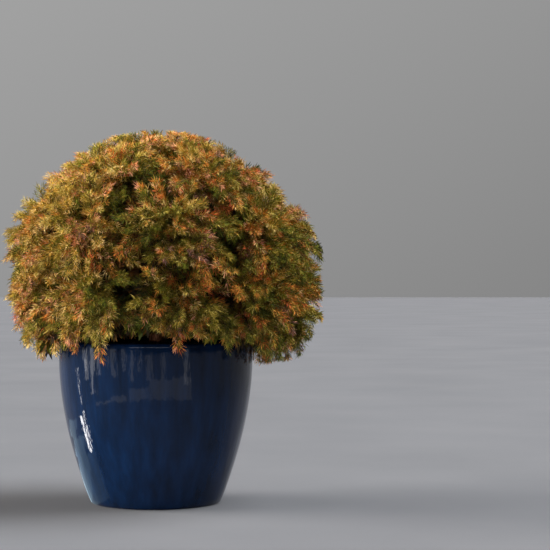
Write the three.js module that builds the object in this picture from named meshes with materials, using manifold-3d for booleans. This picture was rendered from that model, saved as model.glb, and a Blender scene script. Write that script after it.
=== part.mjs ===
// A potted dwarf Japanese cedar: a dense globe of foliage on a short trunk, in a tall round glazed pot.
// Lengths are in millimetres, +Z is up, and the origin is the middle of the pot's flat underside.
// The crown is parted into masses of foliage, each in its own cone of space round the crown's centre.
// One bough carries each mass. Inside a mass a stem ends in a core, and twigs with toothed sprays of
// needles stand out of the core as far as the crown's outline.
import * as THREE from "three";
import { mergeVertices } from "three/addons/utils/BufferGeometryUtils.js";
import Module from "manifold-3d";

const GAP = 0.3; // between two pieces that meet

// Pot
const POT_HEIGHT = 405;
const POT_FOOT_RADIUS = 160;
const POT_BELLY_RADIUS = 242;
const POT_BELLY_HEIGHT = 370;
const POT_FULLNESS = 0.9; // below 1 the wall swells out sooner above the foot
const POT_WALL = 17;
const POT_FLOOR = 24;
const POT_FOOT_BEVEL = 4;
const POT_SIDES = 40;
const POT_OUTER_STEPS = 7;
const POT_INNER_STEPS = 3;
const POT_LIP_STEPS = 4;

// Soil
const SOIL_TOP = 366;
const SOIL_FALL = 7; // from the middle to the pot's wall
const SOIL_FLAT_RADIUS = 70;

// Trunk
const TRUNK_PATH = [[0, 0], [3, -2], [9, 2], [16, 1]]; // across and back, evenly spaced in height
const TRUNK_TOP = 592;
const TRUNK_RADIUS = 23;
const TRUNK_TIP_RADIUS = 9;
const ROOT_FLARE = 15; // added to the radius at the soil
const ROOT_FLARE_SHARE = 0.16; // of the trunk's length
const ROOT_LOBES = 5;
const ROOT_LOBE_DEPTH = 0.13;
const TRUNK_SIDES = 15;
const TRUNK_RINGS = 9;
const TRUNK_FOOT_TRIM = 1.5; // height of the leaning foot that is cut flat

// Crown
const CROWN_CENTRE = new THREE.Vector3(12, 0, 560);
const CROWN_HALF_WIDTH = 415;
const CROWN_HALF_DEPTH = 402;
const CROWN_RISE = 373; // from the centre to the top
const CROWN_DROP = 215; // from the centre to the hem
const HEM_SQUARENESS = 4; // 2 is a plain ellipsoid
const FORK_SHARE = 0.5; // of the way out to the outline, where a bough gives way to its mass
const MIDDLE_SHARE = 0.61; // where a mass's stem ends and its twigs start
const SPACE_MARGIN = 3; // between a core and the side of its mass's space
const SPACE_SPREAD = 34; // degrees from a mass's middle line to its side, at most
const POT_CLEARANCE = 3;

// Cores, in shares of the outline
const CORE_SHARE = 0.75;
const CORE_INNER_SHARE = 0.53;
const CORE_TUFT_SHARE = 0.025; // how far the outer face swells and sinks by turns
const CORE_RING = 0.55; // of the way from the middle of the outer face to its edge
const CORE_SIDES = 8; // an even number
const CORE_RINGS = 4; // from the middle of the outer face to the middle of the back

// Each ring of masses: its name, how many, its angle from straight up, its first azimuth, and the
// heights on the trunk at which its boughs start, taken in turn
const RINGS = [
  { name: "top", count: 1, polar: 4, azimuth: 0, starts: [TRUNK_TOP] },
  { name: "upper", count: 5, polar: 42, azimuth: 20, starts: [545, 566] },
  { name: "middle", count: 8, polar: 73, azimuth: 10, starts: [480, 520] },
  { name: "lower", count: 9, polar: 104, azimuth: 0, starts: [404, 432, 458] },
];

// Boughs
const BOUGH_RADIUS = 7.5;
const BOUGH_TIP_RADIUS = 4;
const BOUGH_SIDES = 6;
const BOUGH_RINGS = 3;
const BOUGH_SINK = 8; // of its foot inside the trunk's radius, before it is cut clear of the trunk
const BOUGH_BEND = 0.5; // of its length, in from its tip along its mass's middle line

// Twigs and sprays
const RING_TWIGS = 4; // round the twig in the middle of each mass
const RING_SHARE = 0.64; // of the way from a mass's middle line to its side
const RING_STRAY = 0.5; // radians, of a twig off its even place in the ring
const RING_REACH = [0.93, 1.0]; // shares of the outline
const TWIG_RADIUS = 3.4;
const TWIG_TIP_RADIUS = 2;
const TWIG_SIDES = 3;
const TWIG_RINGS = 2;
const TWIG_BOW = 16; // how high a level twig's middle point is lifted off its straight line
const TWIG_BOW_PLACE = 0.55; // of the way along it
const TWIG_SINK = 7; // of a twig's end in its spray
const SPRAY_LENGTH = [94, 116];
const SIDE_SPRAYS = [{ along: 0.7, turn: 0.85 }, { along: 0.85, turn: -0.8 }]; // taken by turns
const SIDE_SPRAY_SHARE = 0.94;
const SPRAY_DROOP = 0.16;
const SPRAY_ROLL = 2.6; // radians, of a twig's sprays about it
const SPRAY_THICKNESS = 0.06; // of its length, each side of the middle
const SPRAY_TRIES = 3;
const SPRAY_SHRINK = 0.82;
const SPRAY_MARGIN = 0.5;
// Half of a spray's toothed outline, as shares of its length: out to the side, and along from the root
const TEETH = [[0.24, 0.4], [0.12, 0.5], [0.18, 0.76]];
const SPRAY_MIDDLE = 0.48; // where it is thickest
const SEED = 20417;

const DEGREE = Math.PI / 180;
const UP = new THREE.Vector3(0, 0, 1);
const ACROSS = new THREE.Vector3(1, 0, 0);

const wasm = await Module();
wasm.setup();

// Draws numbers from 0 to 1 that are the same on every run.
function seededDraw(seed) {
  let state = seed;
  return () => {
    state = (Math.imul(state, 1664525) + 1013904223) >>> 0;
    return state / 4294967296;
  };
}

function between([low, high], share) {
  return low + (high - low) * share;
}

// Turns a closed geometry into a solid that can be joined and cut.
function solidOf(geometry) {
  const bare = geometry.index ? geometry.toNonIndexed() : geometry.clone();
  bare.deleteAttribute("normal");
  bare.deleteAttribute("uv");
  const merged = mergeVertices(bare, 1e-3);
  return new wasm.Manifold(new wasm.Mesh({
    numProp: 3,
    vertProperties: merged.getAttribute("position").array,
    triVerts: new Uint32Array(merged.index.array),
  }));
}

// The largest body of a solid, as a geometry, so that scraps and sealed hollows drop out.
function geometryOf(solid) {
  const largest = solid.decompose().reduce((a, b) => (b.volume() > a.volume() ? b : a));
  const mesh = largest.getMesh();
  return new THREE.BufferGeometry()
    .setAttribute("position", new THREE.BufferAttribute(new Float32Array(mesh.vertProperties), 3))
    .setIndex(new THREE.BufferAttribute(new Uint32Array(mesh.triVerts), 1));
}

// A closed tapering limb along a curve, with flat ends. radiusAt gets how far along it is and the
// angle round it.
function limb(curve, radiusAt, sides, rings) {
  const geometry = new THREE.CylinderGeometry(1, 1, 1, sides, rings);
  const frames = curve.computeFrenetFrames(rings, false);
  const place = geometry.getAttribute("position");
  for (let i = 0; i < place.count; i += 1) {
    const ring = Math.round((place.getY(i) + 0.5) * rings);
    const radius = radiusAt(ring / rings, Math.atan2(place.getZ(i), place.getX(i)));
    const point = curve.getPointAt(ring / rings)
      .addScaledVector(frames.binormals[ring], place.getX(i) * radius)
      .addScaledVector(frames.normals[ring], place.getZ(i) * radius);
    place.setXYZ(i, point.x, point.y, point.z);
  }
  return geometry;
}

// Pot and soil

function potRadius(height) {
  const swell = Math.sin((Math.PI / 2) * (height / POT_BELLY_HEIGHT)) ** POT_FULLNESS;
  return POT_FOOT_RADIUS + (POT_BELLY_RADIUS - POT_FOOT_RADIUS) * swell;
}

function turned(profile) {
  return new THREE.LatheGeometry(profile, POT_SIDES).rotateX(Math.PI / 2);
}

// The pot's inner wall, drawn in by a gap, from the floor up to the soil's edge.
function innerWall(gap) {
  const low = POT_FLOOR + gap;
  const points = [];
  for (let i = 0; i <= POT_INNER_STEPS; i += 1) {
    const height = between([low, SOIL_TOP - SOIL_FALL], i / POT_INNER_STEPS);
    points.push(new THREE.Vector2(potRadius(height) - POT_WALL - gap, height));
  }
  return points;
}

function pot() {
  const profile = [new THREE.Vector2(0, 0), new THREE.Vector2(POT_FOOT_RADIUS - POT_FOOT_BEVEL, 0)];
  const lipRadius = POT_WALL / 2;
  const lipHeight = POT_HEIGHT - lipRadius;
  for (let i = 0; i <= POT_OUTER_STEPS; i += 1) {
    const height = between([POT_FOOT_BEVEL, lipHeight], i / POT_OUTER_STEPS);
    profile.push(new THREE.Vector2(potRadius(height), height));
  }
  const lipMiddle = potRadius(lipHeight) - lipRadius;
  for (let i = 1; i <= POT_LIP_STEPS; i += 1) {
    const angle = Math.PI * (i / POT_LIP_STEPS);
    profile.push(new THREE.Vector2(
      lipMiddle + lipRadius * Math.cos(angle),
      lipHeight + lipRadius * Math.sin(angle),
    ));
  }
  profile.push(...innerWall(0).reverse(), new THREE.Vector2(0, POT_FLOOR));
  return turned(profile);
}

function soil() {
  return turned([
    new THREE.Vector2(0, POT_FLOOR + GAP),
    ...innerWall(GAP),
    new THREE.Vector2(SOIL_FLAT_RADIUS, SOIL_TOP),
    new THREE.Vector2(0, SOIL_TOP),
  ]);
}

// Trunk

const trunkFoot = SOIL_TOP + GAP;
const trunkCurve = new THREE.CatmullRomCurve3(TRUNK_PATH.map(([across, back], i) => new THREE.Vector3(
  across,
  back,
  trunkFoot + (TRUNK_TOP - trunkFoot) * (i / (TRUNK_PATH.length - 1)),
)));

function trunkRadius(along, angle, spread) {
  const taper = between([TRUNK_RADIUS, TRUNK_TIP_RADIUS], along);
  const nearRoot = Math.max(0, 1 - along / ROOT_FLARE_SHARE) ** 2;
  const lobe = 1 + ROOT_LOBE_DEPTH * nearRoot * Math.cos(ROOT_LOBES * angle);
  return (taper + ROOT_FLARE * nearRoot) * lobe + spread;
}

// The trunk, or with a spread the room that it needs. Its foot is cut flat on the soil.
function trunk(spread = 0) {
  const whole = limb(trunkCurve, (along, angle) => trunkRadius(along, angle, spread),
    TRUNK_SIDES, TRUNK_RINGS);
  const place = whole.getAttribute("position");
  for (let i = 0; i < place.count; i += 1) {
    if (place.getZ(i) < trunkFoot + TRUNK_FOOT_TRIM) place.setZ(i, trunkFoot);
  }
  return whole;
}

// Crown

// A point's place in the crown: 0 at the centre, 1 on the outline. The outline is half an ellipsoid
// above the centre and a squarer, shallower one below it.
function crownShare(point) {
  const across = Math.hypot(
    (point.x - CROWN_CENTRE.x) / CROWN_HALF_WIDTH,
    (point.y - CROWN_CENTRE.y) / CROWN_HALF_DEPTH,
  );
  const up = point.z - CROWN_CENTRE.z;
  if (up >= 0) return Math.hypot(across, up / CROWN_RISE);
  return (across ** HEM_SQUARENESS + (-up / CROWN_DROP) ** HEM_SQUARENESS) ** (1 / HEM_SQUARENESS);
}

function direction(polar, azimuth) {
  return new THREE.Vector3(
    Math.sin(polar) * Math.cos(azimuth),
    Math.sin(polar) * Math.sin(azimuth),
    Math.cos(polar),
  );
}

// The point that lies a share of the way out from the crown's centre to its outline.
function crownPoint(outward, share) {
  const edge = crownShare(CROWN_CENTRE.clone().add(outward));
  return CROWN_CENTRE.clone().addScaledVector(outward, share / edge);
}

function massesOf(ring) {
  const masses = [];
  for (let i = 0; i < ring.count; i += 1) {
    const azimuth = (ring.azimuth + (360 * i) / ring.count) * DEGREE;
    const outward = direction(ring.polar * DEGREE, azimuth);
    masses.push({
      name: ring.count > 1 ? `${ring.name}_${i + 1}` : ring.name,
      outward,
      fork: crownPoint(outward, FORK_SHARE),
      middle: crownPoint(outward, MIDDLE_SHARE),
      start: ring.starts[i % ring.starts.length],
    });
  }
  return masses;
}

const masses = RINGS.flatMap(massesOf);
for (const mass of masses) {
  mass.walls = masses.filter((other) => other !== mass)
    .map((other) => other.outward.clone().sub(mass.outward).normalize());
}

function clearOfPot(point) {
  if (point.z > POT_HEIGHT + POT_CLEARANCE) return true;
  return Math.hypot(point.x, point.y) > potRadius(point.z) + POT_CLEARANCE;
}

// Whether a point is in a mass's own cone, by at least the margin, and clear of the pot.
function inSpace(mass, point, margin) {
  const offset = point.clone().sub(CROWN_CENTRE);
  return mass.walls.every((wall) => offset.dot(wall) < -margin) && clearOfPot(point);
}

// A direction square to a mass's middle line, turned about it.
function sideOf(mass, turn) {
  const across = mass.outward.clone().cross(Math.abs(mass.outward.z) < 0.9 ? UP : ACROSS).normalize();
  return across.applyAxisAngle(mass.outward, turn);
}

// The point at an angle to one side of a mass's middle line, at a share of the outline.
function spacePoint(mass, side, angle, share) {
  const outward = mass.outward.clone().multiplyScalar(Math.cos(angle))
    .addScaledVector(side, Math.sin(angle));
  return crownPoint(outward, share);
}

// The widest angle to one side at which a share of the outline still lies in the mass's space.
function spaceAngle(mass, side, share) {
  let low = 0;
  let high = SPACE_SPREAD * DEGREE;
  while (high - low > 1e-4) {
    const angle = (low + high) / 2;
    if (inSpace(mass, spacePoint(mass, side, angle, share), SPACE_MARGIN)) low = angle;
    else high = angle;
  }
  return low;
}

// Boughs

function bough(mass) {
  const along = (mass.start - trunkFoot) / (TRUNK_TOP - trunkFoot);
  const foot = trunkCurve.getPointAt(Math.min(1, along));
  const towards = mass.fork.clone().sub(foot).setZ(0).normalize();
  const atTop = along >= 1;
  const begin = atTop
    ? foot.addScaledVector(UP, GAP)
    : foot.addScaledVector(towards, trunkRadius(along, 0, 0) - BOUGH_SINK);
  const bend = atTop
    ? begin.clone().lerp(mass.fork, BOUGH_BEND)
    : mass.fork.clone().addScaledVector(mass.outward, -BOUGH_BEND * mass.fork.distanceTo(begin));
  const curve = new THREE.QuadraticBezierCurve3(begin, bend, mass.fork);
  const radiusAt = (share) => between([BOUGH_RADIUS, BOUGH_TIP_RADIUS], share);
  const whole = solidOf(limb(curve, radiusAt, BOUGH_SIDES, BOUGH_RINGS));
  return atTop ? geometryOf(whole) : geometryOf(whole.subtract(trunkRoom));
}

// Foliage

// A block that fills the inner part of a mass's space, with a tufted outer face. The sphere's rings
// become the middle of that face, a ring on it, its edge, the inner edge and the middle of the back.
function core(mass) {
  const geometry = new THREE.SphereGeometry(1, CORE_SIDES, CORE_RINGS);
  const place = geometry.getAttribute("position");
  for (let i = 0; i < place.count; i += 1) {
    const ring = Math.round((CORE_RINGS * Math.acos(place.getY(i))) / Math.PI);
    const point = corePoint(mass, ring, Math.atan2(place.getX(i), place.getZ(i)));
    place.setXYZ(i, point.x, point.y, point.z);
  }
  return solidOf(geometry);
}

function corePoint(mass, ring, turn) {
  if (ring === 0) return crownPoint(mass.outward, CORE_SHARE);
  if (ring === CORE_RINGS) return crownPoint(mass.outward, CORE_INNER_SHARE);
  const side = sideOf(mass, turn);
  const sector = Math.round((turn * CORE_SIDES) / (2 * Math.PI));
  const tuft = sector % 2 === 0 ? CORE_TUFT_SHARE : -CORE_TUFT_SHARE;
  if (ring === 1) {
    return spacePoint(mass, side, CORE_RING * spaceAngle(mass, side, CORE_SHARE), CORE_SHARE + tuft);
  }
  const share = ring === 2 ? CORE_SHARE - 2 * CORE_TUFT_SHARE - tuft : CORE_INNER_SHARE;
  return spacePoint(mass, side, spaceAngle(mass, side, share), share);
}

function stem(mass) {
  const line = new THREE.LineCurve3(
    mass.fork.clone().addScaledVector(mass.outward, GAP),
    mass.middle,
  );
  return solidOf(limb(line, () => BOUGH_TIP_RADIUS, BOUGH_SIDES, 1));
}

// The path of a twig from the middle of its mass, arching over to its end.
function twigCurve(mass, end) {
  const way = end.clone().sub(mass.middle);
  const level = Math.hypot(way.x, way.y) / way.length();
  const bend = mass.middle.clone().addScaledVector(way, TWIG_BOW_PLACE)
    .addScaledVector(UP, TWIG_BOW * level);
  return new THREE.QuadraticBezierCurve3(mass.middle, bend, end);
}

// A spray of needles: a blade with a toothed outline, thickest in the middle.
function spray(root, along, flat, length) {
  const across = along.clone().cross(flat).normalize();
  const normal = across.clone().cross(along).normalize();
  const at = (side, forward, rise) => root.clone()
    .addScaledVector(across, side * length)
    .addScaledVector(along, forward * length)
    .addScaledVector(normal, rise * length);
  const outline = [
    [0, 0],
    ...TEETH,
    [0, 1],
    ...TEETH.map(([side, forward]) => [-side, forward]).reverse(),
  ];
  const points = outline.map(([side, forward]) => at(side, forward, 0));
  points.push(at(0, SPRAY_MIDDLE, SPRAY_THICKNESS), at(0, SPRAY_MIDDLE, -SPRAY_THICKNESS));
  const [above, below] = [outline.length, outline.length + 1];
  const faces = outline.flatMap((_, i) => {
    const next = (i + 1) % outline.length;
    return [i, next, above, next, i, below];
  });
  return { points, faces };
}

function sprayGeometry({ points, faces }) {
  const place = new Float32Array(points.flatMap((point) => point.toArray()));
  return new THREE.BufferGeometry()
    .setAttribute("position", new THREE.BufferAttribute(place, 3))
    .setIndex(faces);
}

// Fits a spray in the mass's space, shorter on each try, or gives null.
function fittedSpray(mass, root, along, flat, length) {
  for (let i = 0; i < SPRAY_TRIES; i += 1) {
    const made = spray(root, along, flat, length * SPRAY_SHRINK ** i);
    const fits = made.points.every((point) => inSpace(mass, point, SPRAY_MARGIN)
      && crownShare(point) > FORK_SHARE);
    if (fits) return solidOf(sprayGeometry(made));
  }
  return null;
}

function drooped(way) {
  return way.clone().addScaledVector(UP, -SPRAY_DROOP).normalize();
}

// Where a mass's twigs end: one in the middle on the outline, with a ring of them round it.
function tipsOf(mass, draw) {
  const tips = [crownPoint(mass.outward, 1)];
  const start = draw();
  for (let i = 0; i < RING_TWIGS; i += 1) {
    const turn = (2 * Math.PI * (i + start)) / RING_TWIGS + RING_STRAY * (draw() - 0.5);
    const side = sideOf(mass, turn);
    const angle = RING_SHARE * spaceAngle(mass, side, 1);
    tips.push(spacePoint(mass, side, angle, between(RING_REACH, draw())));
  }
  return tips;
}

// A twig with a spray at its tip and one to the side.
function twigPieces(mass, tip, sideSpray, draw) {
  const length = between(SPRAY_LENGTH, draw());
  const outward = drooped(tip.clone().sub(mass.middle).normalize());
  const end = tip.clone().addScaledVector(outward, TWIG_SINK - length);
  const curve = twigCurve(mass, end);
  const flat = outward.clone().cross(UP).cross(outward).normalize()
    .applyAxisAngle(outward, (draw() - 0.5) * SPRAY_ROLL);
  const root = tip.clone().addScaledVector(outward, -length);
  const aside = drooped(outward.clone().applyAxisAngle(flat, sideSpray.turn));
  const twig = limb(curve, (share) => between([TWIG_RADIUS, TWIG_TIP_RADIUS], share),
    TWIG_SIDES, TWIG_RINGS);
  return [
    solidOf(twig),
    fittedSpray(mass, root, outward, flat, length),
    fittedSpray(mass, curve.getPointAt(sideSpray.along), aside, flat, length * SIDE_SPRAY_SHARE),
  ].filter((piece) => piece);
}

function foliage(mass, draw) {
  const twigs = tipsOf(mass, draw)
    .flatMap((tip, i) => twigPieces(mass, tip, SIDE_SPRAYS[i % SIDE_SPRAYS.length], draw));
  return geometryOf([stem(mass), ...twigs].reduce((joined, piece) => joined.add(piece), core(mass)));
}

// The plant

const bark = new THREE.MeshStandardMaterial({ color: 0x5a3d2a, roughness: 0.9 });
const needles = new THREE.MeshStandardMaterial({ color: 0x7c7a35, roughness: 0.7 });
const glaze = new THREE.MeshStandardMaterial({ color: 0x14284f, roughness: 0.12 });
const compost = new THREE.MeshStandardMaterial({ color: 0x2b1d14, roughness: 0.95 });

const plant = new THREE.Group();

function place(name, geometry, material) {
  const mesh = new THREE.Mesh(geometry, material);
  mesh.name = name;
  plant.add(mesh);
}

const draw = seededDraw(SEED);
const trunkRoom = solidOf(trunk(GAP));
place("pot", pot(), glaze);
place("soil", soil(), compost);
place("trunk", trunk(), bark);
for (const mass of masses) {
  place(`bough_${mass.name}`, bough(mass), bark);
  place(`foliage_${mass.name}`, foliage(mass, draw), needles);
}

export default plant;
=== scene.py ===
# A potted dwarf Japanese cedar in winter colour: a dense globe of fine needles in bronze, orange and
# green, over a tall round pot in dark blue glaze.
# Lengths are in metres, +Z is up, and the origin is the middle of the pot's flat underside.
import math

import bpy
import numpy as np
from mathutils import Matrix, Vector
from mathutils import noise


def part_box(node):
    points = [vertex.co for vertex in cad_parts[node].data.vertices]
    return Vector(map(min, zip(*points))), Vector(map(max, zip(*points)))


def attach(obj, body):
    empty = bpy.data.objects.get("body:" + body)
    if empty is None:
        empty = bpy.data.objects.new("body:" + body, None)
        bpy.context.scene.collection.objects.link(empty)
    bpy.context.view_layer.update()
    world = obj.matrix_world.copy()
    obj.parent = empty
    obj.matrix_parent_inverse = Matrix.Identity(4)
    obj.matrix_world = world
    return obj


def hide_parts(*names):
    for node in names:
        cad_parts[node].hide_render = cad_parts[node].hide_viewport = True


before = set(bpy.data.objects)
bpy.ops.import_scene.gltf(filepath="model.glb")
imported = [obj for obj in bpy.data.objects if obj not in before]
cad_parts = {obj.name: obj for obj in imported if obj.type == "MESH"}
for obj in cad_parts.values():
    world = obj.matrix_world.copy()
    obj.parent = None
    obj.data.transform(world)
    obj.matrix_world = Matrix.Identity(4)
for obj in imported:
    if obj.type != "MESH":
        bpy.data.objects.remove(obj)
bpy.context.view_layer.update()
bpy.ops.object.select_all(action="DESELECT")

# Camera, worked out from where the pot stands in the photograph
PHOTO_WIDTH = 550
POT_AXIS_PIXEL = 156
GROUND_PIXEL = 502
HORIZON_PIXEL = 265
METRES_PER_PIXEL = 0.0025  # at the pot's depth
CAMERA_DISTANCE = 4.75
SENSOR_WIDTH = 36.0  # millimetres, as the camera's lens is

# Pot
POT_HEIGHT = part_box("pot")[1].z
POT_FOOT_RADIUS = 0.160
POT_BELLY_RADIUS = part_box("pot")[1].x
POT_BELLY_HEIGHT = 0.370
POT_FULLNESS = 0.9
POT_WALL = 0.017
POT_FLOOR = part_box("soil")[0].z
POT_FOOT_BEVEL = 0.004
POT_SIDES = 144
POT_INNER_RINGS = 18
POT_LIP_RINGS = 13
POT_OUTER_RINGS = 36
POT_SHARP_EDGE = math.radians(50)  # the angle from which an edge looks sharp
GAP = 0.0003  # between soil and pot

# Soil
SOIL_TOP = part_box("soil")[1].z
SOIL_FALL = 0.007
SOIL_DOME = 1.35  # how soon the soil reaches its full height on the way in
SOIL_SIDES = 96
SOIL_WALL_RINGS = 8
SOIL_RINGS = 30
SOIL_MIDDLE = 0.02  # size of the innermost ring, as a share of the outermost
SOIL_LUMP = 0.0035
SOIL_LUMP_SCALE = 42
SOIL_LUMP_LAYERS = (0.7, 2.0, 5)  # how fast the noise's layers fade and narrow, and how many there are
SOIL_LUMP_DROP = 0.35
SOIL_CALM_RIM = 0.012  # how far in from its rim the soil's lumps grow to their full height

# Bits of bark and fallen needles on the soil, each size as the needles' value and the bark's range
CHIP_COUNT = 1100
CHIP_REACH = (0.05, 0.93)  # shares of the soil's area
CHIP_SLIM = 0.4  # share of needles among them
CHIP_SIZES = [
    (0.010, (0.006, 0.014)),
    (0.0012, (0.004, 0.008)),
    (0.0010, (0.0015, 0.003)),
]
CHIP_LEVEL = 0.001  # how high above the soil their middle lies
CHIP_TILT = 0.18
CHIP_ROLL = 0.2
CHIP_CORNERS = (0.7, 1.15)  # how far from their middle the corners lie, as shares of the size

# Trunk and boughs
TRUNK_PATH = [(0, 0), (0.003, -0.002), (0.009, 0.002), (0.016, 0.001)]  # evenly spaced in height
TRUNK_TOP = 0.592
TRUNK_RADIUS = 0.023
TRUNK_TIP_RADIUS = 0.009
ROOT_FLARE = 0.015
ROOT_FLARE_SHARE = 0.16
ROOT_LOBES = 5
ROOT_LOBE_DEPTH = 0.13
BOUGH_RADIUS = 0.0075
BOUGH_TIP_RADIUS = 0.004
BOUGH_BEND = 0.5
TRUNK_NEAR = 1.3  # how many of its radii from its middle line the skin still counts as the trunk's
BARK_STRETCH = (210, 210, 26)  # of the pattern of strips, which is longest upright
BARK_LAYERS = (0.8, 2.1, 4)
TRUNK_RELIEF = 0.0016
BOUGH_RELIEF = 0.0007
TRUNK_STEPS = 24
BOUGH_STEPS = 14
LIMB_VOXEL = 0.0021
LIMB_SMOOTHING = 3

# Crown
CROWN_CENTRE = np.array([0.012, 0.0, 0.560])
CROWN_HALF_WIDTH = 0.415
CROWN_HALF_DEPTH = 0.402
CROWN_RISE = 0.373
CROWN_DROP = 0.215
HEM_SQUARENESS = 4
FORK_SHARE = 0.5  # shares of the way from the crown's centre out to its outline
MIDDLE_SHARE = 0.61
SPACE_MARGIN = 0.003
SPACE_SPREAD = math.radians(34)
SPACE_STEP = 1e-4  # how closely the widest angle is found
POT_CLEARANCE = 0.003

# Each ring of masses: its name, how many, its angle from straight up, its first azimuth, and the
# heights on the trunk at which its boughs start, taken in turn
RINGS = [
    ("top", 1, 4, 0, [TRUNK_TOP]),
    ("upper", 5, 42, 20, [0.545, 0.566]),
    ("middle", 8, 73, 10, [0.480, 0.520]),
    ("lower", 9, 104, 0, [0.404, 0.432, 0.458]),
]

# Twigs and the sprays that the solids show
RING_TWIGS = 4
RING_SHARE = 0.64
RING_STRAY = 0.5
RING_REACH = (0.93, 1.0)
TWIG_RADIUS = 0.0034
TWIG_TIP_RADIUS = 0.002
TWIG_BOW = 0.016
TWIG_BOW_PLACE = 0.55
TWIG_SINK = 0.007
SPRAY_LENGTH = (0.094, 0.116)
SIDE_SPRAYS = [(0.7, 0.85), (0.85, -0.8)]  # how far along the twig, and its turn away from the twig
SIDE_SPRAY_SHARE = 0.94
SPRAY_DROOP = 0.16
SPRAY_ROLL = 2.6
SPRAY_TRIES = 3
SPRAY_SHRINK = 0.82
SPRAY_MARGIN = 0.0005
TEETH = [(0.24, 0.4), (0.12, 0.5), (0.18, 0.76)]
SEED = 20417
DRAW_FACTOR = 1664525
DRAW_STEP = 1013904223
DRAW_RANGE = 2 ** 32

UP = np.array([0.0, 0.0, 1.0])
ACROSS = np.array([1.0, 0.0, 0.0])
STEEP = 0.9  # the rise of a unit vector from which it counts as upright
GOLDEN_TURN = math.pi * (3 - math.sqrt(5))
chance = np.random.default_rng(SEED)


def between(ends, share):
    return ends[0] + (ends[1] - ends[0]) * share


def unit(vectors):
    return vectors / np.linalg.norm(vectors, axis=-1, keepdims=True)


def along_axis(vectors, axes):
    return np.sum(vectors * axes, axis=-1, keepdims=True)


def turned_about(vectors, axes, angle):
    """Vectors turned about unit axes."""
    cos = np.cos(angle)[..., None]
    sin = np.sin(angle)[..., None]
    return vectors * cos + np.cross(axes, vectors) * sin + axes * along_axis(vectors, axes) * (1 - cos)


def square_to(ways):
    """Unit vectors square to the given ones."""
    return unit(np.cross(ways, np.where(np.abs(ways[..., 2:]) < STEEP, UP, ACROSS)))


def bezier(start, bend, end, share):
    return start * (1 - share) ** 2 + bend * 2 * share * (1 - share) + end * share ** 2


# Materials

def linear(hex_colour):
    """A colour written as #rrggbb, as the linear values that a shader takes."""
    values = [int(hex_colour[i:i + 2], 16) / 255 for i in (1, 3, 5)]
    return [v / 12.92 if v <= 0.04045 else ((v + 0.055) / 1.055) ** 2.4 for v in values] + [1.0]


def new_material(name, colour, roughness, specular):
    material = bpy.data.materials.new(name)
    material.use_nodes = True
    shader = material.node_tree.nodes["Principled BSDF"]
    shader.inputs["Base Color"].default_value = linear(colour)
    shader.inputs["Roughness"].default_value = roughness
    shader.inputs["Specular IOR Level"].default_value = specular
    return material, shader


def stretched_noise(material, stretch, detail, roughness=0.5):
    """Noise on the piece's own coordinates, stretched by a scale for each axis."""
    nodes = material.node_tree.nodes
    links = material.node_tree.links
    place = nodes.new("ShaderNodeTexCoord")
    mapping = nodes.new("ShaderNodeMapping")
    mapping.inputs["Scale"].default_value = stretch
    texture = nodes.new("ShaderNodeTexNoise")
    texture.inputs["Scale"].default_value = 1.0
    texture.inputs["Detail"].default_value = detail
    texture.inputs["Roughness"].default_value = roughness
    links.new(place.outputs["Object"], mapping.inputs["Vector"])
    links.new(mapping.outputs["Vector"], texture.inputs["Vector"])
    return texture


def fill_ramp(ramp, stops):
    """Gives a ramp its stops, each a place from 0 to 1 and a colour."""
    elements = ramp.color_ramp.elements
    while len(elements) < len(stops):
        elements.new(0.5)
    for element, (place, colour) in zip(elements, stops):
        element.position = place
        element.color = colour


def colour_from(material, shader, texture, stops):
    """Takes the base colour from a texture's values by stops, each a place and a colour."""
    links = material.node_tree.links
    ramp = material.node_tree.nodes.new("ShaderNodeValToRGB")
    fill_ramp(ramp, [(place, linear(colour)) for place, colour in stops])
    links.new(texture.outputs["Fac"], ramp.inputs["Fac"])
    links.new(ramp.outputs["Color"], shader.inputs["Base Color"])


def bump_from(material, shader, texture, strength, distance, under=None):
    links = material.node_tree.links
    bump = material.node_tree.nodes.new("ShaderNodeBump")
    bump.inputs["Strength"].default_value = strength
    bump.inputs["Distance"].default_value = distance
    links.new(texture.outputs["Fac"], bump.inputs["Height"])
    if under:
        links.new(under.outputs["Normal"], bump.inputs["Normal"])
    links.new(bump.outputs["Normal"], shader.inputs["Normal"])
    return bump


def glaze_material():
    """Dark blue glaze that ran down the pot before it set, under a clear glassy coat."""
    material, shader = new_material("glaze", "#0f2144", roughness=0.5, specular=0.0)
    streaks = stretched_noise(material, stretch=(34, 34, 3.2), detail=6, roughness=0.62)
    colour_from(material, shader, streaks, [(0.3, "#050f1f"), (0.5, "#06152b"), (0.72, "#081c37")])
    shader.inputs["Coat Weight"].default_value = 1.0
    shader.inputs["Coat Roughness"].default_value = 0.03
    shader.inputs["Coat IOR"].default_value = 1.31
    broad = stretched_noise(material, stretch=(24, 24, 5), detail=3)
    fine = stretched_noise(material, stretch=(170, 170, 60), detail=3)
    waves = bump_from(material, shader, broad, strength=0.5, distance=0.0032)
    pits = bump_from(material, shader, fine, strength=0.25, distance=0.0007, under=waves)
    material.node_tree.links.new(pits.outputs["Normal"], shader.inputs["Coat Normal"])
    return material


def compost_material():
    material, shader = new_material("compost", "#2b1d14", roughness=0.95, specular=0.2)
    crumbs = stretched_noise(material, stretch=(140, 140, 140), detail=8, roughness=0.7)
    colour_from(material, shader, crumbs, [(0.3, "#120b07"), (0.55, "#2d1e14"), (0.75, "#4a3524")])
    bump_from(material, shader, crumbs, strength=0.9, distance=0.002)
    return material


def bark_material():
    """Reddish brown bark that peels in narrow upright strips."""
    material, shader = new_material("bark", "#6b4430", roughness=0.85, specular=0.25)
    strips = stretched_noise(material, stretch=(190, 190, 16), detail=7, roughness=0.65)
    colour_from(material, shader, strips, [(0.3, "#2a1710"), (0.5, "#5f3a28"), (0.7, "#93654a")])
    bump_from(material, shader, strips, strength=0.8, distance=0.0015)
    return material


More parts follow.
